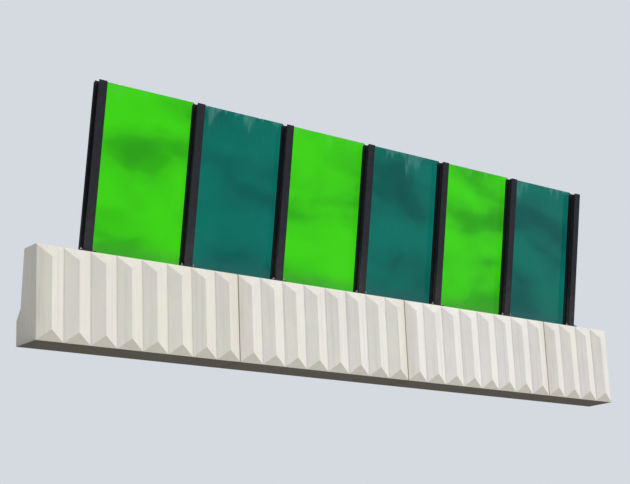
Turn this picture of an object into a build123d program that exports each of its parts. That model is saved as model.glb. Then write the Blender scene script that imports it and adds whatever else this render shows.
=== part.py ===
from build123d import *
import os
from math import cos, radians, sin, tan

# Highway noise barrier on a precast parapet, in millimetres.
# X runs along the wall, -Y is the outer (viewer's) side, +Y the traffic side, Z is up.
# The origin is the middle of the underside.

# Run of the wall
bay_count = 6
bay = 2000                 # from post to post
end_overhang = 1000        # parapet past each end post
bays_per_unit = 2          # bays on one precast unit
ribs_per_bay = 4

# Precast parapet
parapet_height = 1580
parapet_base_width = 630
parapet_top_width = 400
waist_height = 605         # where the steep upper face starts
waist_depth = 500          # from the outer face to the traffic face at the waist
toe_height = 425           # upright toe below the sloping foot
rib_depth = 70             # ridge in front of the valley
rib_root = 50              # ribs run this far back into the wall
hip_height = 183           # each rib's ends slope back over this height
arris = 18                 # chamfer along both top edges
drip_setback = 45          # middle of the drip groove behind the outer face
drip_width = 26
drip_depth = 14
drip_side_angle = 70
joint_gap = 20
seal_setback = 25          # joint seal behind the concrete faces

# Steel posts
lean = 10                  # degrees that the posts and sheets lean outwards
post_setback = 90          # front of a post behind the parapet's outer face, at its top
post_width = 160
post_depth = 160
flange_thickness = 13
web_thickness = 8
root_radius = 15
post_drop = 30             # post top below the sheets' top

# Feet of the posts
grout_thickness = 15
foot_width = 300
foot_depth = 290
foot_thickness = 20
foot_setback = 60          # plate edge behind the parapet's outer face
foot_corner_radius = 15
anchor_hole_radius = 13
anchor_spacing_x = 230
anchor_spacing_y = 200
anchor_edge = 55           # front anchors behind the plate's front edge

# Acrylic sheets and their fixing
sheet_top = 2945           # along the lean, from the parapet's top
sheet_bottom = 20
sheet_thickness = 20
sheet_corner = 50          # both top corners are cut off
gasket_wall = 5
gasket_lip = 42            # how far the gasket covers the sheet's upright edges
gasket_sill_lip = 20       # and its lower edge
stud_gap = 16              # between two gaskets, behind a post
clamp_width = 150
clamp_thickness = 8

# Sill under the sheets
sill_wall = 5
sill_top = 40              # along the lean
sill_end_gap = 5           # between a rail's end and a post's flange
bed_margin = 5             # mortar past the rail on each side

# Worked out from the sizes above
post_count = bay_count + 1
run_length = bay_count * bay + 2 * end_overhang
run_start = -run_length / 2
first_post_x = run_start + end_overhang
unit_pitch = bays_per_unit * bay
rib_pitch = bay / ribs_per_bay
outer_face = -parapet_base_width / 2
post_front = outer_face + post_setback
foot_bottom = parapet_height + grout_thickness
foot_top = foot_bottom + foot_thickness
gasket_front = post_depth
gasket_back = gasket_front + sheet_thickness + 2 * gasket_wall
gasket_bottom = sheet_bottom - gasket_wall
gasket_top = sheet_top - sheet_corner
window_bottom = sheet_bottom + gasket_sill_lip

os.makedirs("parts", exist_ok=True)


def post_x(index):
    """Middle of a post, counted from the left."""
    return first_post_x + index * bay


def lean_plane(x, along=0):
    """Square to the leaning posts: local x along the wall, local y away from the viewer."""
    angle = radians(lean)
    foot = Vector(x, post_front, parapet_height)
    axis = Vector(0, -sin(angle), cos(angle))
    return Plane(origin=foot + axis * along, x_dir=(1, 0, 0), z_dir=axis)


def face_plane(x, depth):
    """Parallel to the sheets, facing the viewer: local x along the wall, local y up the lean."""
    angle = radians(lean)
    foot = Vector(x, post_front, parapet_height)
    inward = Vector(0, cos(angle), sin(angle))
    return Plane(origin=foot + inward * depth, x_dir=(1, 0, 0), z_dir=inward * -1)


def section_plane(x):
    """Upright cross-section of the leaning pieces: local x is depth, local y runs up the lean."""
    angle = radians(lean)
    return Plane(
        origin=(x, post_front, parapet_height),
        x_dir=(0, cos(angle), sin(angle)),
        z_dir=(1, 0, 0),
    )


def parapet_outline():
    """Points of the barrier's cross-section as (y, z), without the ribs."""
    traffic_top = outer_face + parapet_top_width
    return [
        (outer_face, 0),
        (outer_face, parapet_height - arris),
        (outer_face + arris, parapet_height),
        (traffic_top - arris, parapet_height),
        (traffic_top, parapet_height - arris),
        (outer_face + waist_depth, waist_height),
        (outer_face + parapet_base_width, toe_height),
        (outer_face + parapet_base_width, 0),
    ]


def rib_plan(start, end):
    """Zigzag of one unit's ribs in plan, as (x, y)."""
    points = [(start, outer_face + rib_root), (start, outer_face)]
    for rib in range(round((end - start) / rib_pitch)):
        valley = start + rib * rib_pitch
        points.append((valley + rib_pitch / 2, outer_face - rib_depth))
        points.append((valley + rib_pitch, outer_face))
    points.append((end, outer_face + rib_root))
    return points


# Precast parapet units, each with its hipped V ribs and a drip groove underneath
unit_starts = []
x = run_start
while x < run_start + run_length - 1:
    unit_starts.append(x)
    x += unit_pitch
unit_ends = [min(start + unit_pitch, run_start + run_length) for start in unit_starts]

for number, (start, end) in enumerate(zip(unit_starts, unit_ends), 1):
    with BuildPart() as ribs:
        with BuildSketch(Plane.YZ.offset(start)):
            with BuildLine():
                Polyline(
                    (outer_face + rib_root, 0),
                    (outer_face, 0),
                    (outer_face - rib_depth, hip_height),
                    (outer_face - rib_depth, parapet_height - arris - hip_height),
                    (outer_face, parapet_height - arris),
                    (outer_face + rib_root, parapet_height - arris),
                    close=True,
                )
            make_face()
        extrude(amount=end - start)
        with BuildSketch(Plane.XY):
            with BuildLine():
                Polyline(*rib_plan(start, end), close=True)
            make_face()
        extrude(amount=parapet_height, mode=Mode.INTERSECT)

    left_trim = 0 if number == 1 else joint_gap / 2
    right_trim = 0 if number == len(unit_starts) else joint_gap / 2
    with BuildPart() as parapet_unit:
        with BuildSketch(Plane.YZ.offset(start)):
            with BuildLine():
                Polyline(*parapet_outline(), close=True)
            make_face()
        extrude(amount=end - start)
        with BuildSketch(Plane.YZ.offset(start)):
            with Locations((outer_face + drip_setback, 0)):
                Trapezoid(drip_width, drip_depth, drip_side_angle, align=(Align.CENTER, Align.MIN))
        extrude(amount=end - start, mode=Mode.SUBTRACT)
        add(ribs.part)
        split(bisect_by=Plane.YZ.offset(start + left_trim), keep=Keep.TOP)
        split(bisect_by=Plane.YZ.offset(end - right_trim), keep=Keep.BOTTOM)
    parapet_unit.part.label = f"parapet_unit_{number}"
    export_step(parapet_unit.part, f"parts/{parapet_unit.part.label}.step")

# Seals in the joints between the units
for number, joint in enumerate(unit_starts[1:], 1):
    with BuildPart() as joint_seal:
        with BuildSketch(Plane.YZ.offset(joint - joint_gap / 2)):
            with BuildLine():
                Polyline(*parapet_outline(), close=True)
            make_face()
            offset(amount=-seal_setback, kind=Kind.INTERSECTION)
        extrude(amount=joint_gap)
    joint_seal.part.label = f"joint_seal_{number}"
    export_step(joint_seal.part, f"parts/{joint_seal.part.label}.step")

# Grout under the posts' feet
foot_middle = outer_face + foot_setback + foot_depth / 2
with BuildPart() as grout_pads:
    with BuildSketch(Plane.XY.offset(parapet_height)):
        with Locations(*[(post_x(i), foot_middle) for i in range(post_count)]):
            Rectangle(foot_width, foot_depth)
    extrude(amount=grout_thickness)
grout_pads.part.label = "grout_pads"
export_step(grout_pads.part, f"parts/{grout_pads.part.label}.step")

# Leaning H posts, each welded to its foot plate
front_anchors = outer_face + foot_setback + anchor_edge
anchor_middle = front_anchors + anchor_spacing_y / 2
for index in range(post_count):
    x = post_x(index)
    with BuildPart() as post:
        with BuildSketch(lean_plane(x, -post_depth)):
            with Locations((0, post_depth / 2)):
                Rectangle(post_width, post_depth)
            with Locations(
                ((post_width + web_thickness) / 4, post_depth / 2),
                (-(post_width + web_thickness) / 4, post_depth / 2),
            ):
                RectangleRounded(
                    (post_width - web_thickness) / 2,
                    post_depth - 2 * flange_thickness,
                    root_radius,
                    mode=Mode.SUBTRACT,
                )
            with Locations(
                (post_width / 2 - root_radius / 2, post_depth / 2),
                (-post_width / 2 + root_radius / 2, post_depth / 2),
            ):
                Rectangle(
                    root_radius,
                    post_depth - 2 * flange_thickness,
                    mode=Mode.SUBTRACT,
                )
        extrude(amount=post_depth + sheet_top - post_drop)
        split(bisect_by=Plane.XY.offset(foot_top), keep=Keep.TOP)
        with BuildSketch(Plane.XY.offset(foot_bottom)):
            with Locations((x, foot_middle)):
                RectangleRounded(foot_width, foot_depth, foot_corner_radius)
            with Locations((x, anchor_middle)):
                with GridLocations(anchor_spacing_x, anchor_spacing_y, 2, 2):
                    Circle(anchor_hole_radius, mode=Mode.SUBTRACT)
        extrude(amount=foot_thickness)
    post.part.label = f"post_{index + 1}"
    export_step(post.part, f"parts/{post.part.label}.step")

# Sill rails: troughs that carry the sheets' lower edges, level underneath
rail_start = post_width / 2 + sill_end_gap
rail_length = bay - 2 * rail_start
for number in range(1, bay_count + 1):
    x = post_x(number - 1) + rail_start
    with BuildPart() as sill_rail:
        with BuildSketch(section_plane(x)):
            with BuildLine():
                Polyline(
                    (gasket_front - sill_wall, -post_depth),
                    (gasket_front - sill_wall, sill_top),
                    (gasket_front, sill_top),
                    (gasket_front, gasket_bottom),
                    (gasket_back, gasket_bottom),
                    (gasket_back, sill_top),
                    (gasket_back + sill_wall, sill_top),
                    (gasket_back + sill_wall, -post_depth),
                    close=True,
                )
            make_face()
        extrude(amount=rail_length)
        split(bisect_by=Plane.XY.offset(foot_top), keep=Keep.TOP)
    sill_rail.part.label = f"sill_rail_{number}"
    export_step(sill_rail.part, f"parts/{sill_rail.part.label}.step")

# Mortar that closes the gap below each sill rail, between two feet
tilt = tan(radians(lean))
rise = foot_top - parapet_height
bed_front = post_front + (gasket_front - sill_wall) / cos(radians(lean)) - rise * tilt - bed_margin
bed_back = post_front + (gasket_back + sill_wall) / cos(radians(lean)) - rise * tilt + bed_margin
with BuildPart() as sill_beds:
    with BuildSketch(Plane.XY.offset(parapet_height)):
        with Locations(*[
            (post_x(i) + bay / 2, (bed_front + bed_back) / 2) for i in range(bay_count)
        ]):
            Rectangle(bay - foot_width, bed_back - bed_front)
    extrude(amount=rise)
sill_beds.part.label = "sill_beds"
export_step(sill_beds.part, f"parts/{sill_beds.part.label}.step")

# Coloured sheets with their top corners cut off, green first and then teal in turn
sheet_edge = stud_gap / 2 + gasket_wall
sheet_width = bay - 2 * sheet_edge
sheet_height = sheet_top - sheet_bottom
sheet_back = gasket_back - gasket_wall
for number in range(1, bay_count + 1):
    middle = post_x(number - 1) + bay / 2
    colour = "green" if number % 2 else "teal"
    with BuildPart() as sheet:
        with BuildSketch(face_plane(middle, sheet_back)) as outline:
            with Locations((0, sheet_bottom + sheet_height / 2)):
                Rectangle(sheet_width, sheet_height)
            chamfer(outline.vertices().group_by(Axis.Y)[-1], length=sheet_corner)
        extrude(amount=sheet_thickness)
    sheet.part.label = f"{colour}_sheet_{number}"
    export_step(sheet.part, f"parts/{sheet.part.label}.step")

# U gaskets along both sides and the bottom of each sheet, up to its cut corners
window_width = sheet_width - 2 * gasket_lip
for number in range(1, bay_count + 1):
    middle = post_x(number - 1) + bay / 2
    gasket_middle = (gasket_front + gasket_back) / 2
    with BuildPart() as gasket:
        with BuildSketch(lean_plane(middle, gasket_bottom)):
            with Locations((0, gasket_middle)):
                Rectangle(sheet_width + 2 * gasket_wall, gasket_back - gasket_front)
        extrude(amount=gasket_top - gasket_bottom)
        with BuildSketch(lean_plane(middle, sheet_bottom)):
            with Locations((0, gasket_middle)):
                Rectangle(sheet_width, sheet_thickness)
        extrude(amount=gasket_top - sheet_bottom, mode=Mode.SUBTRACT)
        with BuildSketch(lean_plane(middle, window_bottom)):
            with Locations((0, gasket_middle)):
                Rectangle(window_width, gasket_back - gasket_front)
        extrude(amount=gasket_top - window_bottom, mode=Mode.SUBTRACT)
    gasket.part.label = f"sheet_gasket_{number}"
    export_step(gasket.part, f"parts/{gasket.part.label}.step")

# Clamp plates behind the posts, which press the sheets' edges to the rear flanges
for index in range(post_count):
    with BuildPart() as clamp_plate:
        with BuildSketch(lean_plane(post_x(index), sheet_bottom)):
            with Locations((0, gasket_back + clamp_thickness / 2)):
                Rectangle(clamp_width, clamp_thickness)
        extrude(amount=gasket_top - sheet_bottom)
    clamp_plate.part.label = f"clamp_plate_{index + 1}"
    export_step(clamp_plate.part, f"parts/{clamp_plate.part.label}.step")

# Packers on the free side of the two end posts, as thick as a sheet in its gasket
packer_width = gasket_wall + gasket_lip
packer_offset = stud_gap / 2 + packer_width / 2
with BuildPart() as end_packers:
    with BuildSketch(lean_plane(0, sheet_bottom)):
        with Locations(
            (post_x(0) - packer_offset, (gasket_front + gasket_back) / 2),
            (post_x(bay_count) + packer_offset, (gasket_front + gasket_back) / 2),
        ):
            Rectangle(packer_width, gasket_back - gasket_front)
    extrude(amount=gasket_top - sheet_bottom)
end_packers.part.label = "end_packers"
export_step(end_packers.part, f"parts/{end_packers.part.label}.step")
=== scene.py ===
"""Highway noise barrier: the finishes and the small hardware, in metres.
X runs along the wall, -Y is the outer side, +Y the traffic side and Z is up."""
import bmesh
import bpy
from math import cos, pi, radians, sin, sqrt
from mathutils import Matrix, Vector


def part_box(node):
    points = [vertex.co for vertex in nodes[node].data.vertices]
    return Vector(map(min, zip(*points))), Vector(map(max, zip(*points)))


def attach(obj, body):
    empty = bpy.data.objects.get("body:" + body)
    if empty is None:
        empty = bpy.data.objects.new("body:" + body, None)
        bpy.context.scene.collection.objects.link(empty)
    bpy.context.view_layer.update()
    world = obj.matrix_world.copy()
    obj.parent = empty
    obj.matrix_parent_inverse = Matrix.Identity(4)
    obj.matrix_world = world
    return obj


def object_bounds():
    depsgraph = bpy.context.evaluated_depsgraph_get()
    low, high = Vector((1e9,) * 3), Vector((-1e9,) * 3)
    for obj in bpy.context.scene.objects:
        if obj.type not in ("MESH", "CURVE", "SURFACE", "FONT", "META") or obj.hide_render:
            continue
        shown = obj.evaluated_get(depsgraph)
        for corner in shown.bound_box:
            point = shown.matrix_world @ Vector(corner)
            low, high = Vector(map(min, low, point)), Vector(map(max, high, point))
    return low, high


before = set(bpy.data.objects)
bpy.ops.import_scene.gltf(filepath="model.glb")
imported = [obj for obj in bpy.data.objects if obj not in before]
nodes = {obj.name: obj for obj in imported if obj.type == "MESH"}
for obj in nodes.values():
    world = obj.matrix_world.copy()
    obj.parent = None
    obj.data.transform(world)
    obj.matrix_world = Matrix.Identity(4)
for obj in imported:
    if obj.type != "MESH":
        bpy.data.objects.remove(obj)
cad_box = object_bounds()

# Directions up the leaning posts and square to the sheets
lean = radians(10)
along = Vector((0, -sin(lean), cos(lean)))
square = Vector((0, cos(lean), sin(lean)))

# Sizes that the CAD model has
ribs_per_bay = 4
bays_per_unit = 2
rib_depth = 0.070
plate_thickness = 0.020
clamp_thickness = 0.008

# Places that the frame gives
post_numbers = range(1, 1 + sum(name.startswith("post_") for name in nodes))
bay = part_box("post_2")[0].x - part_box("post_1")[0].x
rib_pitch = bay / ribs_per_bay
run_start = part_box("parapet_unit_1")[0].x
unit_length = bays_per_unit * bay
ridge_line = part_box("parapet_unit_1")[0].y
pad_low, pad_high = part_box("grout_pads")
plate_top = pad_high.z + plate_thickness
clamp_low, clamp_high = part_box("clamp_plate_1")

# Post section
post_width = 0.160
flange_thickness = 0.013
web_thickness = 0.008
root_radius = 0.015

# Anchors in the foot plates
anchor_diameter = 0.024
anchor_nut_width = 0.036       # across the flats
anchor_nut_height = 0.019
anchor_washer_width = 0.046
anchor_washer_thickness = 0.004
anchor_stand_out = 0.045       # stud end above the plate
anchor_spacing_x = 0.230
anchor_spacing_y = 0.200
anchor_edge = 0.055

# Studs in the clamp plates
clamp_stud_diameter = 0.016
clamp_nut_width = 0.024
clamp_nut_height = 0.013
clamp_washer_width = 0.034
clamp_washer_thickness = 0.003
clamp_stand_out = 0.028
clamp_stud_count = 7
clamp_end_distance = 0.120

# All fixings, as shares of the stud's diameter
washer_hole = 1.1
thread_pitch = 0.125

weld_radius = 0.006

# Which precast unit gets which shade. The thousandth keeps the end face in its unit
first_shade = 4.001

# Painted patches of sky and cloud seen through the sheets, splashes that ran down from their top edges, dirt
# along their rims
painted_sky_place = (8.9, 24.1, -23.2)
painted_sky_low, painted_sky_dark, painted_sky_high = 3.0, 3.55, 4.1     # darkest at the middle one of these heights
splash_length = 0.75           # the longest of them
rim_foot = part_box("sill_rail_1")[1].z
rim_thick = 0.03               # up to here above the rail the dirt is thickest
rim_height = 0.38
spray_height = 1.1             # road spray on the posts reaches this far above their feet


def post_middle(number):
    low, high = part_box(f"clamp_plate_{number}")
    return (low.x + high.x) / 2


def material_colour(red, green, blue):
    """A linear colour from the 0 to 255 values of a finish as it looks in plain light."""
    def linear(level):
        share = level / 255
        return share / 12.92 if share <= 0.04045 else ((share + 0.055) / 1.055) ** 2.4
    return (linear(red), linear(green), linear(blue), 1)


# Node helpers

def add(tree, kind, settings=None, **inputs):
    """A shader node with its settings. Inputs are values or other nodes' outputs."""
    made = tree.nodes.new("ShaderNode" + kind)
    for name, value in (settings or {}).items():
        setattr(made, name, value)
    for name, value in inputs.items():
        connect(tree, value, made.inputs[name.replace("_", " ")])
    return made


def connect(tree, value, socket):
    """Links an output to a socket, or sets the socket's own value."""
    if isinstance(value, bpy.types.NodeSocket):
        tree.links.new(value, socket)
    else:
        socket.default_value = value


def maths(tree, operation, first, second=0.0):
    made = add(tree, "Math", {"operation": operation})
    connect(tree, first, made.inputs[0])
    connect(tree, second, made.inputs[1])
    return made.outputs[0]


def times(tree, first, second):
    return maths(tree, "MULTIPLY", first, second)


def fade(tree, value, start, end, low=0.0, high=1.0):
    """Goes smoothly from low to high as value goes from start to end."""
    made = add(tree, "MapRange", {"interpolation_type": "SMOOTHSTEP"}, Value=value,
               From_Min=start, From_Max=end, To_Min=low, To_Max=high)
    return made.outputs["Result"]


def blend_colour(tree, share, first, second, way="MIX"):
    made = add(tree, "Mix", {"data_type": "RGBA", "blend_type": way})
    connect(tree, share, made.inputs["Factor"])
    connect(tree, first, made.inputs[6])
    connect(tree, second, made.inputs[7])
    return made.outputs[2]


def vector_maths(tree, operation, first, second):
    made = add(tree, "VectorMath", {"operation": operation})
    connect(tree, first, made.inputs[0])
    connect(tree, second, made.inputs[1])
    return made


def scaled(tree, place, factors):
    return vector_maths(tree, "MULTIPLY", place, factors).outputs[0]


def noise(tree, place, scale, detail=4.0, roughness=0.55, distortion=0.0):
    made = add(tree, "TexNoise", Vector=place, Scale=scale, Detail=detail, Roughness=roughness,
               Distortion=distortion)
    return made.outputs["Fac"]


def facing(tree, axis):
    """One part of the direction in which the surface faces."""
    return add(tree, "SeparateXYZ", Vector=add(tree, "NewGeometry").outputs["Normal"]).outputs[axis]


def new_group(name, inputs):
    """An empty node group that puts out a share. inputs is {name: default}, with None for a vector."""
    tree = bpy.data.node_groups.new(name, "ShaderNodeTree")
    for label, default in inputs.items():
        kind = "NodeSocketVector" if default is None else "NodeSocketFloat"
        socket = tree.interface.new_socket(label, in_out="INPUT", socket_type=kind)
        if default is not None:
            socket.default_value = default
    tree.interface.new_socket("Share", in_out="OUTPUT", socket_type="NodeSocketFloat")
    given = tree.nodes.new("NodeGroupInput")
    result = tree.nodes.new("NodeGroupOutput")
    return tree, given.outputs, result.inputs["Share"]


def use_group(tree, group, **inputs):
    made = tree.nodes.new("ShaderNodeGroup")
    made.node_tree = group
    for name, value in inputs.items():
        connect(tree, value, made.inputs[name])
    return made.outputs["Share"]


def new_finish(name, roughness, metallic=0.0):
    """A material with one Principled shader, and the place of a point on the object."""
    material = bpy.data.materials.new(name)
    material.use_nodes = True
    tree = material.node_tree
    shader = tree.nodes["Principled BSDF"]
    shader.inputs["Metallic"].default_value = metallic
    shader.inputs["Roughness"].default_value = roughness
    place = tree.nodes.new("ShaderNodeTexCoord").outputs["Object"]
    return material, tree, shader.inputs, place


def bump(tree, height, strength, distance):
    return add(tree, "Bump", Height=height, Strength=strength, Distance=distance).outputs["Normal"]


def mix_shaders(tree, share, first, second):
    made = add(tree, "MixShader", Fac=share)
    connect(tree, first, made.inputs[1])
    connect(tree, second, made.inputs[2])
    return made.outputs[0]


def clear_where(tree, share, colour=(1, 1, 1, 1)):
    """Makes a finish see-through, tinted with a colour, by a share from 0 to 1."""
    clear = add(tree, "BsdfTransparent", Color=colour).outputs[0]
    shown = mix_shaders(tree, share, tree.nodes["Principled BSDF"].outputs[0], clear)
    connect(tree, shown, tree.nodes["Material Output"].inputs["Surface"])


# Effects that several finishes share

def make_blotches():
    """Soft uneven patches. Size is how wide they are in metres."""
    tree, given, result = new_group("blotches", {"Place": None, "Size": 0.5, "Contrast": 0.5})
    scale = maths(tree, "DIVIDE", 1.0, given["Size"])
    uneven = noise(tree, given["Place"], scale, 5.0, 0.55, 0.6)
    reach = times(tree, maths(tree, "SUBTRACT", 1.0, given["Contrast"]), 0.35)
    reach = maths(tree, "ADD", reach, 0.02)
    low = maths(tree, "SUBTRACT", 0.5, reach)
    high = maths(tree, "ADD", 0.5, reach)
    tree.links.new(fade(tree, uneven, low, high), result)
    return tree


def make_rain_runs():
    """Streaks that water leaves down a face. Spacing and Length are in metres."""
    tree, given, result = new_group("rain_runs", {"Place": None, "Spacing": 0.05, "Length": 1.0, "Lean": 0.0})
    turned = add(tree, "VectorRotate", {"rotation_type": "X_AXIS"}, Vector=given["Place"],
                 Angle=given["Lean"])
    parts = add(tree, "SeparateXYZ", Vector=turned.outputs[0])
    across = maths(tree, "DIVIDE", parts.outputs["X"], given["Spacing"])
    deep = maths(tree, "DIVIDE", parts.outputs["Y"], given["Spacing"])
    down = maths(tree, "DIVIDE", parts.outputs["Z"], given["Length"])
    stretched = add(tree, "CombineXYZ", X=across, Y=deep, Z=down).outputs[0]
    fine = noise(tree, stretched, 1.0, 3.0, 0.6)
    tree.links.new(fade(tree, fine, 0.48, 0.72), result)
    return tree


def make_grain():
    """A fine grain all over. Size is in metres."""
    tree, given, result = new_group("grain", {"Place": None, "Size": 0.004})
    scale = maths(tree, "DIVIDE", 1.0, given["Size"])
    tree.links.new(noise(tree, given["Place"], scale, 2.0, 0.7), result)
    return tree


def make_dust():
    """Dust that lies on whatever faces up, and thinly on the rest."""
    tree, given, result = new_group("dust", {"Place": None, "Amount": 0.5})
    lying = fade(tree, facing(tree, "Z"), 0.1, 0.8, 0.03, 1.0)
    patchy = fade(tree, noise(tree, given["Place"], 14.0, 5.0, 0.6), 0.35, 0.70, 0.35, 1.0)
    share = times(tree, times(tree, lying, patchy), given["Amount"])
    tree.links.new(share, result)
    return tree


def make_pits():
    """Small round hollows, as air leaves in a mould. Spacing is in metres, Size a share of it."""
    tree, given, result = new_group("pits", {"Place": None, "Spacing": 0.1, "Size": 0.1})
    scale = maths(tree, "DIVIDE", 1.0, given["Spacing"])
    cells = add(tree, "TexVoronoi", Vector=given["Place"], Scale=scale)
    chance = add(tree, "SeparateColor", Color=cells.outputs["Color"]).outputs["Red"]
    width = times(tree, chance, given["Size"])
    inside = fade(tree, cells.outputs["Distance"], width, times(tree, width, 0.6))
    kept = maths(tree, "GREATER_THAN", chance, 0.35)
    tree.links.new(times(tree, inside, kept), result)
    return tree


blotches = make_blotches()
rain_runs = make_rain_runs()
grain = make_grain()
dust = make_dust()
pits = make_pits()
road_dust = material_colour(178, 170, 158)


# Finishes

def precast_concrete():
    material, tree, shader, place = new_finish("precast_concrete", 0.85)
    parts = add(tree, "SeparateXYZ", Vector=place).outputs
    along_run = maths(tree, "SUBTRACT", parts["X"], run_start)
    units_along = maths(tree, "DIVIDE", along_run, unit_length)

    # One unit is a little darker and creamier than the next
    unit = maths(tree, "FLOOR", maths(tree, "ADD", units_along, first_shade))
    cast = add(tree, "TexWhiteNoise", {"noise_dimensions": "1D"}, W=unit).outputs["Value"]
    colour = blend_colour(tree, cast, material_colour(224, 219, 205), material_colour(241, 235, 233))
    warmth = fade(tree, noise(tree, scaled(tree, place, (2.6, 2.6, 0.7)), 1.0, 3.0), 0.40, 0.60)
    leaning = blend_colour(tree, warmth, material_colour(229, 222, 218), material_colour(226, 225, 210))
    colour = blend_colour(tree, 0.5, colour, leaning)

    # Blotchy cement and faint lilac and greenish stripes down the ribs
    blotch = use_group(tree, blotches, Place=place, Size=0.55, Contrast=0.3)
    colour = blend_colour(tree, times(tree, blotch, 0.40), colour, material_colour(217, 211, 206))
    stripe = use_group(tree, rain_runs, Place=place, Spacing=0.055, Length=2.6)
    hue = noise(tree, scaled(tree, place, (5.0, 5.0, 0.4)), 1.0, 2.0)
    hue = fade(tree, hue, 0.40, 0.60)
    stripe_colour = blend_colour(tree, hue, material_colour(208, 201, 203), material_colour(211, 209, 199))
    colour = blend_colour(tree, times(tree, stripe, 0.55), colour, stripe_colour)

    # Dirt in the valleys between the ribs
    phase = maths(tree, "FRACT", maths(tree, "DIVIDE", along_run, rib_pitch))
    off_ridge = maths(tree, "ABSOLUTE", maths(tree, "SUBTRACT", phase, 0.5))
    outside = fade(tree, parts["Y"], ridge_line + rib_depth + 0.03, ridge_line + rib_depth)
    valley = times(tree, fade(tree, off_ridge, 0.44, 0.50), outside)
    broken = use_group(tree, rain_runs, Place=place, Spacing=0.02, Length=0.7)
    valley = times(tree, valley, fade(tree, broken, 0.0, 1.0, 0.35, 0.8))
    colour = blend_colour(tree, valley, colour, material_colour(176, 170, 160))

    # Leaks beside the joints. Faces that look down are made darker and browner
    off_joint = maths(tree, "FRACT", maths(tree, "ADD", units_along, 0.5))
    off_joint = maths(tree, "ABSOLUTE", maths(tree, "SUBTRACT", off_joint, 0.5))
    leak = times(tree, fade(tree, off_joint, 0.075, 0.0), fade(tree, broken, 0.0, 1.0, 0.25, 0.60))
    colour = blend_colour(tree, leak, colour, material_colour(201, 190, 168))
    looking_down = fade(tree, facing(tree, "Z"), -0.05, -0.30)
    colour = blend_colour(tree, times(tree, looking_down, 0.75), colour, material_colour(202, 195, 178))

    # Pores and sand. The pores are painted darker, as painted shade inside the hollows
    pores = use_group(tree, pits, Place=place, Spacing=0.085, Size=0.075)
    colour = blend_colour(tree, times(tree, pores, 0.6), colour, material_colour(120, 114, 106))
    sand = use_group(tree, grain, Place=place, Size=0.0045)
    speck = fade(tree, sand, 0.30, 0.75, 0.93, 1.04)
    speck = add(tree, "CombineColor", Red=speck, Green=speck, Blue=speck).outputs[0]
    colour = blend_colour(tree, 1.0, colour, speck, "MULTIPLY")
    connect(tree, colour, shader["Base Color"])
    connect(tree, fade(tree, blotch, 0.0, 1.0, 0.80, 0.92), shader["Roughness"])
    height = maths(tree, "SUBTRACT", times(tree, sand, 0.18), pores)
    connect(tree, bump(tree, height, 0.7, 0.002), shader["Normal"])
    return material


def bedding_mortar():
    material, tree, shader, place = new_finish("bedding_mortar", 0.95)
    patch = use_group(tree, blotches, Place=place, Size=0.12, Contrast=0.5)
    colour = blend_colour(tree, patch, material_colour(172, 169, 162), material_colour(150, 147, 141))
    sand = use_group(tree, grain, Place=place, Size=0.003)
    dark_sand = fade(tree, sand, 0.55, 0.75, 0.0, 0.5)
    colour = blend_colour(tree, dark_sand, colour, material_colour(118, 114, 108))
    connect(tree, colour, shader["Base Color"])
    connect(tree, bump(tree, sand, 0.8, 0.0015), shader["Normal"])
    return material


def joint_filler():
    material, tree, shader, place = new_finish("joint_filler", 0.8)
    patch = use_group(tree, blotches, Place=place, Size=0.06, Contrast=0.4)
    colour = blend_colour(tree, patch, material_colour(92, 86, 80), material_colour(66, 61, 58))
    dirt = use_group(tree, dust, Place=place, Amount=0.6)
    connect(tree, blend_colour(tree, dirt, colour, road_dust), shader["Base Color"])
    skin = use_group(tree, grain, Place=place, Size=0.006)
    connect(tree, bump(tree, skin, 0.5, 0.001), shader["Normal"])
    return material


def post_paint():
    material, tree, shader, place = new_finish("charcoal_post_paint", 0.5)
    shader["Specular IOR Level"].default_value = 0.05
    patch = use_group(tree, blotches, Place=place, Size=0.35, Contrast=0.4)
    colour = blend_colour(tree, patch, material_colour(34, 38, 45), material_colour(39, 37, 44))
    runs = use_group(tree, rain_runs, Place=place, Spacing=0.02, Length=0.9, Lean=lean)
    colour = blend_colour(tree, times(tree, runs, 0.25), colour, material_colour(60, 60, 59))

    # Road spray dries on the lower part. Beside the web, where no rain rinses it, it is laid on thicker,
    # partly as dust and partly as painted bounce light that lightens the shaded side near the foot
    height = add(tree, "SeparateXYZ", Vector=place).outputs["Z"]
    spray = fade(tree, height, plate_top + spray_height, plate_top, 0.008, 0.05)
    side_spray_and_painted_bounce = fade(tree, maths(tree, "ABSOLUTE", facing(tree, "X")), 0.5, 0.9, 1.0, 4.5)
    spray = times(tree, spray, side_spray_and_painted_bounce)
    spotty = fade(tree, noise(tree, place, 9.0, 5.0, 0.65), 0.30, 0.70, 0.4, 1.2)
    colour = blend_colour(tree, times(tree, spray, spotty), colour, road_dust)
    dirt = use_group(tree, dust, Place=place, Amount=0.55)
    colour = blend_colour(tree, dirt, colour, road_dust)
    connect(tree, colour, shader["Base Color"])
    connect(tree, fade(tree, runs, 0.0, 1.0, 0.40, 0.62), shader["Roughness"])
    skin = use_group(tree, grain, Place=place, Size=0.0025)
    connect(tree, bump(tree, skin, 0.25, 0.0004), shader["Normal"])
    return material


def gasket_rubber():
    material, tree, shader, place = new_finish("black_gasket_rubber", 0.6)
    patch = use_group(tree, blotches, Place=place, Size=0.1, Contrast=0.4)
    colour = blend_colour(tree, patch, material_colour(26, 26, 27), material_colour(36, 35, 34))
    dirt = use_group(tree, dust, Place=place, Amount=0.4)
    connect(tree, blend_colour(tree, dirt, colour, road_dust), shader["Base Color"])
    skin = use_group(tree, grain, Place=place, Size=0.004)
    connect(tree, bump(tree, skin, 0.3, 0.0004), shader["Normal"])
    return material


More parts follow.
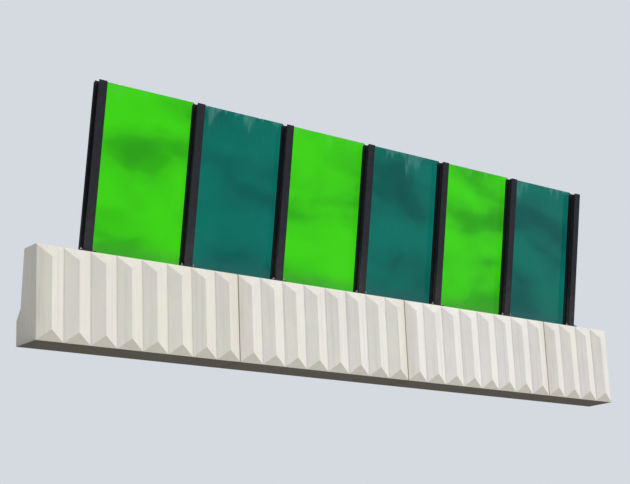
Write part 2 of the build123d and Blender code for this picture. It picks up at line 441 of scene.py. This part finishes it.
def galvanised_steel():
    material, tree, shader, place = new_finish("galvanised_steel", 0.45, 1.0)
    spangle = add(tree, "TexVoronoi", Vector=place, Scale=160.0)
    tone = add(tree, "SeparateColor", Color=spangle.outputs["Color"]).outputs["Red"]
    colour = blend_colour(tree, tone, material_colour(196, 199, 200), material_colour(172, 176, 179))
    dirt = use_group(tree, dust, Place=place, Amount=0.35)
    connect(tree, blend_colour(tree, dirt, colour, road_dust), shader["Base Color"])
    connect(tree, fade(tree, tone, 0.0, 1.0, 0.35, 0.55), shader["Roughness"])
    skin = use_group(tree, grain, Place=place, Size=0.002)
    connect(tree, bump(tree, skin, 0.3, 0.0003), shader["Normal"])
    return material


def tinted_acrylic(name, pale, deep, dried, dirty):
    """Clear tinted sheet. Its tint holds painted patches of sky and cloud seen through it, and rain has left
    splashes, a thin film and dirty rims.
    """
    material, tree, shader, place = new_finish(name, 0.06)
    shader["IOR"].default_value = 1.49
    shader["Specular Tint"].default_value = (0.05, 0.05, 0.05, 1)
    shader["Transmission Weight"].default_value = 1.0

    # Painted patches of sky and cloud seen through the sheet: large and soft, with a firm edge here and
    # there, darkest above the middle
    parts = add(tree, "SeparateXYZ", Vector=place).outputs
    moved = vector_maths(tree, "ADD", place, painted_sky_place).outputs[0]
    broad = noise(tree, scaled(tree, moved, (0.42, 0.42, 0.80)), 1.0, 2.0, 0.4, 0.6)
    small = noise(tree, scaled(tree, moved, (1.3, 1.3, 2.0)), 1.0, 3.0, 0.5, 0.4)
    band = times(tree, fade(tree, parts["Z"], painted_sky_low, painted_sky_dark),
                 fade(tree, parts["Z"], painted_sky_high, painted_sky_dark))
    patchy = maths(tree, "ADD", times(tree, broad, 0.78), times(tree, small, 0.22))
    patchy = maths(tree, "SUBTRACT", patchy, times(tree, band, 0.06))
    soft = times(tree, fade(tree, patchy, 0.30, 0.62), 0.88)
    firm = times(tree, fade(tree, patchy, 0.425, 0.475), 0.12)
    # plain is the sheet's tint with the painted sky patches in it
    plain = blend_colour(tree, maths(tree, "ADD", soft, firm), deep, pale)

    # Dried splashes from the top edge, each to its own depth, and a film of rain runs
    below_top = maths(tree, "SUBTRACT", cad_box[1].z, parts["Z"])
    wavy = noise(tree, scaled(tree, place, (1.3, 0.0, 0.0)), 1.0, 5.0, 0.7)
    depth = fade(tree, wavy, 0.46, 0.68, 0.0, splash_length)
    splash = fade(tree, below_top, depth, times(tree, depth, 0.25))
    ragged = noise(tree, scaled(tree, place, (14.0, 8.0, 3.0)), 1.0, 4.0, 0.65)
    ragged = fade(tree, ragged, 0.38, 0.62, 0.12, 0.50)
    tint = blend_colour(tree, times(tree, splash, ragged), plain, dried)
    film = use_group(tree, rain_runs, Place=place, Spacing=0.05, Length=1.6, Lean=lean)
    tint = blend_colour(tree, times(tree, film, 0.03), tint, dried)

    # Dirt along the posts and the sill
    past_post = maths(tree, "SUBTRACT", parts["X"], post_middle(1))
    past_post = maths(tree, "FRACT", maths(tree, "DIVIDE", past_post, bay))
    off_middle = maths(tree, "ABSOLUTE", maths(tree, "SUBTRACT", past_post, 0.5))
    foot = fade(tree, parts["Z"], rim_foot + rim_height, rim_foot + rim_thick)
    foot = maths(tree, "POWER", foot, 1.6)
    rim = maths(tree, "MAXIMUM", fade(tree, off_middle, 0.435, 0.462, 0.0, 0.6), foot)
    rim = times(tree, rim, fade(tree, film, 0.0, 1.0, 0.55, 0.85))
    tint = blend_colour(tree, rim, tint, dirty)
    connect(tree, tint, shader["Base Color"])
    rough = maths(tree, "ADD", fade(tree, film, 0.0, 1.0, 0.04, 0.14), times(tree, rim, 0.12))

    # Sawn edges are frosted
    normal = add(tree, "NewGeometry").outputs["Normal"]
    flat = vector_maths(tree, "DOT_PRODUCT", normal, square).outputs["Value"]
    sawn = fade(tree, maths(tree, "ABSOLUTE", flat), 0.98, 0.80, 0.0, 0.5)
    connect(tree, maths(tree, "MAXIMUM", rough, sawn), shader["Roughness"])

    # Light shines through with the sheet's tint, painted sky patches included
    clear_where(tree, add(tree, "LightPath").outputs["Is Shadow Ray"], plain)
    return material


concrete = precast_concrete()
mortar = bedding_mortar()
filler = joint_filler()
paint = post_paint()
rubber = gasket_rubber()
zinc = galvanised_steel()
green = tinted_acrylic("green_acrylic", material_colour(78, 246, 25), material_colour(54, 186, 27),
                       material_colour(105, 235, 80), material_colour(84, 184, 58))
teal = tinted_acrylic("teal_acrylic", material_colour(15, 131, 112), material_colour(13, 98, 90),
                      material_colour(110, 175, 165), material_colour(50, 112, 108))

finish_of = {
    "parapet_unit": concrete,
    "joint_seal": filler,
    "grout_pads": mortar,
    "sill_beds": mortar,
    "post": paint,
    "clamp_plate": paint,
    "sill_rail": paint,
    "sheet_gasket": rubber,
    "end_packers": rubber,
    "green_sheet": green,
    "teal_sheet": teal,
}

# Softened edges of the CAD solids: (width, how many facets)
edge_of = {
    "parapet_unit": (0.004, 2),
    "post": (0.0015, 2),
    "clamp_plate": (0.001, 2),
    "sill_rail": (0.001, 1),
    "green_sheet": (0.0012, 2),
    "teal_sheet": (0.0012, 2),
    "grout_pads": (0.003, 2),
    "sill_beds": (0.003, 2),
}


def soften_edges(node, width, facets):
    """Merges the loose triangles, clears the flats, rounds the edges and keeps the flats' shading flat."""
    merge = node.modifiers.new("merge", "WELD")
    merge.merge_threshold = 0.00001
    flats = node.modifiers.new("flats", "DECIMATE")
    flats.decimate_type = "DISSOLVE"
    flats.angle_limit = radians(0.5)
    edge = node.modifiers.new("edge", "BEVEL")
    edge.width = width
    edge.segments = facets
    edge.limit_method = "ANGLE"
    edge.angle_limit = radians(20)
    shading = node.modifiers.new("shading", "WEIGHTED_NORMAL")
    shading.weight = 100
    shading.keep_sharp = True


for name, node in nodes.items():
    kind = name.rstrip("_0123456789")
    node.data.materials.clear()
    node.data.materials.append(finish_of[kind])
    if kind in edge_of:
        soften_edges(node, *edge_of[kind])


# Shaping tools

def begin(primitive, **values):
    """Adds a primitive with nothing else selected, and opens it in edit mode."""
    bpy.ops.object.select_all(action="DESELECT")
    primitive(**values)
    bpy.ops.object.mode_set(mode="EDIT")
    bpy.ops.mesh.select_all(action="DESELECT")
    return bpy.context.object


def choose(piece, kind, test):
    """Selects only the vertices, edges or faces whose middle passes the test."""
    modes = {"VERT": (True, False, False), "EDGE": (False, True, False), "FACE": (False, False, True)}
    bpy.context.tool_settings.mesh_select_mode = modes[kind]
    bpy.ops.mesh.select_all(action="DESELECT")
    shape = bmesh.from_edit_mesh(piece.data)
    group = {"VERT": shape.verts, "EDGE": shape.edges, "FACE": shape.faces}[kind]
    for item in group:
        corners = [item] if kind == "VERT" else item.verts
        middle = sum((corner.co for corner in corners), Vector()) / len(corners)
        if test(middle, item):
            item.select_set(True)
    shape.select_flush_mode()
    bmesh.update_edit_mesh(piece.data)


def finish_shape(piece, name):
    bpy.ops.object.mode_set(mode="OBJECT")
    piece.name = name
    return piece


def join(pieces, name):
    bpy.ops.object.select_all(action="DESELECT")
    for piece in pieces:
        piece.select_set(True)
    bpy.context.view_layer.objects.active = pieces[0]
    bpy.ops.object.join()
    pieces[0].name = name
    return pieces[0]


def apply_place(piece):
    """Puts the object's place into its mesh."""
    bpy.ops.object.select_all(action="DESELECT")
    piece.select_set(True)
    bpy.context.view_layer.objects.active = piece
    bpy.ops.object.transform_apply(location=True, rotation=True, scale=True)


def settle(piece, finish):
    """Gives a piece its finish and lets it ride on the wall."""
    apply_place(piece)
    piece.data.materials.clear()
    piece.data.materials.append(finish)
    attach(piece, "root")


def copy_to(piece, place):
    """A copy with its own mesh, moved by a matrix."""
    copy = piece.copy()
    copy.data = piece.data.copy()
    copy.data.transform(place)
    bpy.context.scene.collection.objects.link(copy)
    return copy


def height_of(edge):
    return abs(edge.verts[0].co.z - edge.verts[1].co.z)


def washer(width, hole, thickness):
    piece = begin(bpy.ops.mesh.primitive_cylinder_add, vertices=28, radius=width / 2, depth=thickness,
                  location=(0, 0, thickness / 2))
    choose(piece, "FACE", lambda middle, face: abs(face.normal.z) > 0.9)
    bpy.ops.mesh.inset(thickness=width / 2 - hole / 2, use_boundary=True)
    bpy.ops.mesh.bridge_edge_loops()
    choose(piece, "EDGE", lambda middle, edge: edge.calc_face_angle(0) > radians(60)
           and middle.xy.length > 0.4 * width)
    bpy.ops.mesh.bevel(offset=thickness * 0.15, segments=2)
    return finish_shape(piece, "washer")


def hex_nut(width, hole, height, base):
    """A nut with its corners turned down at the top."""
    corner = width / sqrt(3)
    piece = begin(bpy.ops.mesh.primitive_cylinder_add, vertices=6, radius=corner, depth=height,
                  location=(0, 0, base + height / 2))
    choose(piece, "FACE", lambda middle, face: face.normal.z > 0.9)
    bpy.ops.mesh.inset(thickness=(width - hole) * 0.18)
    bpy.ops.transform.translate(value=(0, 0, height * 0.07))
    bpy.ops.mesh.inset(thickness=(width - hole) * 0.24)
    bpy.ops.mesh.extrude_region_move(TRANSFORM_OT_translate={"value": (0, 0, -height * 0.12)})
    choose(piece, "EDGE", lambda middle, edge: edge.calc_face_angle(0) > radians(50)
           and height_of(edge) > height * 0.5)
    bpy.ops.mesh.bevel(offset=width * 0.02, segments=2)
    return finish_shape(piece, "nut")


def threaded_end(diameter, length, pitch):
    """A stud's end, with thread grooves as rings and a chamfered tip."""
    piece = begin(bpy.ops.mesh.primitive_cylinder_add, vertices=20, radius=diameter / 2, depth=length,
                  location=(0, 0, length / 2))
    choose(piece, "EDGE", lambda middle, edge: height_of(edge) > length * 0.5)
    cuts = 2 * round(length / pitch) - 1
    bpy.ops.mesh.subdivide(number_cuts=cuts)
    step = length / (cuts + 1)
    half = length / 2
    choose(piece, "VERT", lambda middle, corner: round((middle.z + half) / step) % 2 == 0
           and abs(middle.z) < half - step / 2)
    bpy.ops.transform.resize(value=(0.90, 0.90, 1))
    choose(piece, "FACE", lambda middle, face: face.normal.z > 0.9)
    bpy.ops.transform.resize(value=(0.86, 0.86, 1))
    return finish_shape(piece, "stud")


def fixing(diameter, nut_width, nut_height, washer_width, washer_thickness, stand_out, name):
    """One stud end with its washer and nut, standing on the plane z = 0."""
    parts = [
        washer(washer_width, diameter * washer_hole, washer_thickness),
        hex_nut(nut_width, diameter, nut_height, washer_thickness),
        threaded_end(diameter, stand_out, diameter * thread_pitch),
    ]
    for part in parts:
        apply_place(part)
    return join(parts, name)


# Anchors on the foot plates, each tightened to another angle

anchor = fixing(anchor_diameter, anchor_nut_width, anchor_nut_height, anchor_washer_width,
                anchor_washer_thickness, anchor_stand_out, "anchor")
anchor_rows = (pad_low.y + anchor_edge, pad_low.y + anchor_edge + anchor_spacing_y)
for number in post_numbers:
    copies = []
    for row, y in enumerate(anchor_rows):
        for side in (-1, 1):
            spot = Vector((post_middle(number) + side * anchor_spacing_x / 2, y, plate_top))
            turn = Matrix.Rotation(radians(37 * number + 71 * row + 23 * side), 4, "Z")
            copies.append(copy_to(anchor, Matrix.Translation(spot) @ turn))
    settle(join(copies, f"anchor_bolts_{number}"), zinc)
bpy.data.objects.remove(anchor)


# Studs and nuts on the clamp plates at the back

clamp_stud = fixing(clamp_stud_diameter, clamp_nut_width, clamp_nut_height, clamp_washer_width,
                    clamp_washer_thickness, clamp_stand_out, "clamp_stud")
clamp_end_slope = clamp_thickness * sin(lean)
clamp_foot = Vector((0, clamp_high.y, clamp_low.z + clamp_end_slope))
clamp_length = (clamp_high.z - clamp_low.z - clamp_end_slope) / cos(lean)
stand_square = Matrix.Rotation(-(pi / 2 - lean), 4, "X")
for number in post_numbers:
    copies = []
    for stud in range(clamp_stud_count):
        share = stud / (clamp_stud_count - 1)
        reach = clamp_end_distance + share * (clamp_length - 2 * clamp_end_distance)
        spot = clamp_foot + along * reach
        spot.x = post_middle(number)
        turn = Matrix.Rotation(radians(53 * stud + 29 * number), 4, "Z")
        copies.append(copy_to(clamp_stud, Matrix.Translation(spot) @ stand_square @ turn))
    settle(join(copies, f"clamp_bolts_{number}"), zinc)
bpy.data.objects.remove(clamp_stud)


# Weld beads round the posts' feet

def foot_line():
    """Front and back of the post's section where it meets its foot plate."""
    middle = post_middle(1)
    near = 0.0005
    corners = [corner.co for corner in nodes["post_1"].data.vertices]
    depths = [corner.y for corner in corners
              if abs(corner.z - plate_top) < near and abs(corner.x - middle) < post_width / 2 + near]
    return min(depths), max(depths)


foot_front, foot_back = foot_line()


def weld_outline():
    """A loop round an H section, from a grid whose two side cells are cut out."""
    depth = foot_back - foot_front
    piece = begin(bpy.ops.mesh.primitive_grid_add, x_subdivisions=3, y_subdivisions=3, size=1)
    inner_x, inner_y = web_thickness / 2, depth / 2 - flange_thickness / cos(lean)

    # The grid's outer corners are 0.5 from its middle, the inner ones a third of that
    shape = bmesh.from_edit_mesh(piece.data)
    for corner in shape.verts:
        for axis, outer, inner in ((0, post_width / 2, inner_x), (1, depth / 2, inner_y)):
            at = corner.co[axis]
            corner.co[axis] = (outer if abs(at) > 0.3 else inner) * (1 if at > 0 else -1)
    bmesh.update_edit_mesh(piece.data)
    choose(piece, "FACE", lambda middle, face: abs(middle.x) > inner_x * 2 and abs(middle.y) < inner_y / 2)
    bpy.ops.mesh.delete(type="FACE")
    bpy.ops.mesh.select_all(action="SELECT")
    bpy.ops.mesh.dissolve_limited(angle_limit=radians(1))
    choose(piece, "VERT", lambda middle, corner: abs(middle.x) < inner_x * 2)
    bpy.ops.mesh.bevel(offset=root_radius, segments=4, affect="VERTICES")
    bpy.ops.mesh.select_all(action="SELECT")
    bpy.ops.mesh.delete(type="ONLY_FACE")
    return finish_shape(piece, "weld_line")


def weld_bead():
    piece = weld_outline()
    bpy.ops.object.convert(target="CURVE")
    line = bpy.context.object
    line.data.bevel_depth = weld_radius
    line.data.bevel_resolution = 2
    bpy.ops.object.convert(target="MESH")
    bead = bpy.context.object
    bead.location = (post_middle(1), (foot_front + foot_back) / 2, plate_top)
    apply_place(bead)
    return bead


bead = weld_bead()
for number in post_numbers:
    copy = copy_to(bead, Matrix.Translation((post_middle(number) - post_middle(1), 0, 0)))
    copy.name = f"weld_bead_{number}"
    settle(copy, paint)
bpy.data.objects.remove(bead)


# Floor, which shows only from above: the photo's eye is lower than the wall's foot

backdrop = (0.66, 0.70, 0.75, 1)
floor_size = 600
floor_drop = 0.002             # clear of the parapet's underside


def pale_floor():
    material, tree, shader, _ = new_finish("pale_floor", 0.9)
    shader["Base Color"].default_value = (0.57, 0.61, 0.67, 1)
    shader["Emission Color"].default_value = (1.0, 1.0, 1.0, 1)
    shader["Emission Strength"].default_value = 0.09

    # It doesn't show from below
    from_camera = add(tree, "LightPath").outputs["Is Camera Ray"]
    under = add(tree, "NewGeometry").outputs["Backfacing"]
    clear_where(tree, times(tree, from_camera, under))
    return material


bpy.ops.object.select_all(action="DESELECT")
bpy.ops.mesh.primitive_plane_add(size=floor_size, location=(0, 0, -floor_drop))
floor = bpy.context.object
floor.name = "floor"
floor.data.materials.append(pale_floor())


# Light

def soft_world():
    """An even pale surround. The camera, gloss and glass see the backdrop's plain colour."""
    world = bpy.data.worlds.new("studio")
    bpy.context.scene.world = world
    world.use_nodes = True
    tree = world.node_tree
    tree.nodes.clear()
    rays = add(tree, "LightPath").outputs
    seen = maths(tree, "MAXIMUM", rays["Is Glossy Ray"], rays["Is Transmission Ray"])
    seen = maths(tree, "MAXIMUM", rays["Is Camera Ray"], seen)
    surround = add(tree, "Background", Color=(0.93, 0.96, 1.0, 1), Strength=0.45).outputs[0]
    plain = add(tree, "Background", Color=backdrop, Strength=1.0).outputs[0]
    add(tree, "OutputWorld", Surface=mix_shaders(tree, seen, surround, plain))


soft_world()
light_from = Vector((0.50, -0.50, 0.707))
sun = bpy.data.objects.new("soft_sun", bpy.data.lights.new("soft_sun", "SUN"))
sun.data.energy = 2.6
sun.data.angle = radians(14)
sun.data.color = (1.0, 0.975, 0.93)
sun.rotation_mode = "QUATERNION"
sun.rotation_quaternion = (-light_from).to_track_quat("-Z", "Y")
bpy.context.scene.collection.objects.link(sun)
bpy.context.scene.view_settings.view_transform = "Standard"


# Camera at the photo's viewpoint, low and to the left, with the whole run in view

viewpoint = Vector((-18.01, -20.34, -4.76))
heading = radians(40.03)       # from +Y towards +X
rise = radians(15.37)
roll = radians(2.39)
forward = Vector((sin(heading) * cos(rise), cos(heading) * cos(rise), sin(rise)))
level = Vector((cos(heading), -sin(heading), 0))
down = forward.cross(level)
right = cos(roll) * level + sin(roll) * down
upright = -(cos(roll) * down - sin(roll) * level)
camera = bpy.data.objects.new("camera", bpy.data.cameras.new("camera"))
aim = Matrix((right, upright, -forward)).transposed().to_4x4()
camera.matrix_world = Matrix.Translation(viewpoint) @ aim
camera.data.lens = 83.26
camera.data.clip_end = 500
bpy.context.scene.collection.objects.link(camera)
bpy.context.scene.camera = camera
